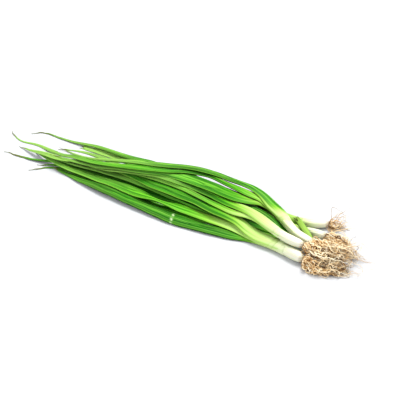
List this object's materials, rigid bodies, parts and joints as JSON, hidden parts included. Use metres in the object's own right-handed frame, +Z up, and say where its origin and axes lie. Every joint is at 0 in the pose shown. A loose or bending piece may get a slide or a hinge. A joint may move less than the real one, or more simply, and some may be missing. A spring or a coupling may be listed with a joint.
{
  "type": "spring onion bunch",
  "caption": "Loose bunch of whole spring onions lying flat: white shafts with tufts of wiry roots at one end and long flattened green leaves that taper to dry tips.",
  "frame": {"origin": "on the table, under the middle of the bunch's bounding box", "axes": "+X from the leaf tips towards the roots, +Y across the bunch, +Z up from the table"},
  "size_m": [0.4818, 0.098, 0.0312],
  "materials": {
    "white_shaft": "smooth, moist and satin, creamy white turning pale green",
    "green_leaf": "waxy satin green with fine lengthwise veins, drying to olive at the tips",
    "root_tuft": "dry matt tan fibres"
  },
  "bodies": {
    "root": {"centre_leaf_broad": "green_leaf", "centre_leaf_narrow": "green_leaf", "centre_roots": "root_tuft", "centre_shaft": "white_shaft", "far_leaf_pointed": "green_leaf", "far_leaf_torn": "green_leaf", "far_leaf_wavy": "green_leaf", "far_roots": "root_tuft", "far_shaft": "white_shaft", "middle_leaf_long": "green_leaf", "middle_leaf_low": "green_leaf", "middle_roots": "root_tuft", "middle_shaft": "white_shaft", "near_leaf_bright": "green_leaf", "near_leaf_edge": "green_leaf", "near_leaf_slim": "green_leaf", "near_leaf_striped": "green_leaf", "near_roots": "root_tuft", "near_shaft": "white_shaft", "short_leaf_inner": "green_leaf", "short_leaf_outer": "green_leaf", "short_leaf_shaded": "green_leaf", "short_leaf_stub": "green_leaf", "short_roots": "root_tuft", "short_shaft": "white_shaft", "top_leaf_curled": "green_leaf", "top_leaf_ridge": "green_leaf", "top_leaf_wide": "green_leaf", "top_roots": "root_tuft", "top_shaft": "white_shaft"}
  },
  "joints": []
}
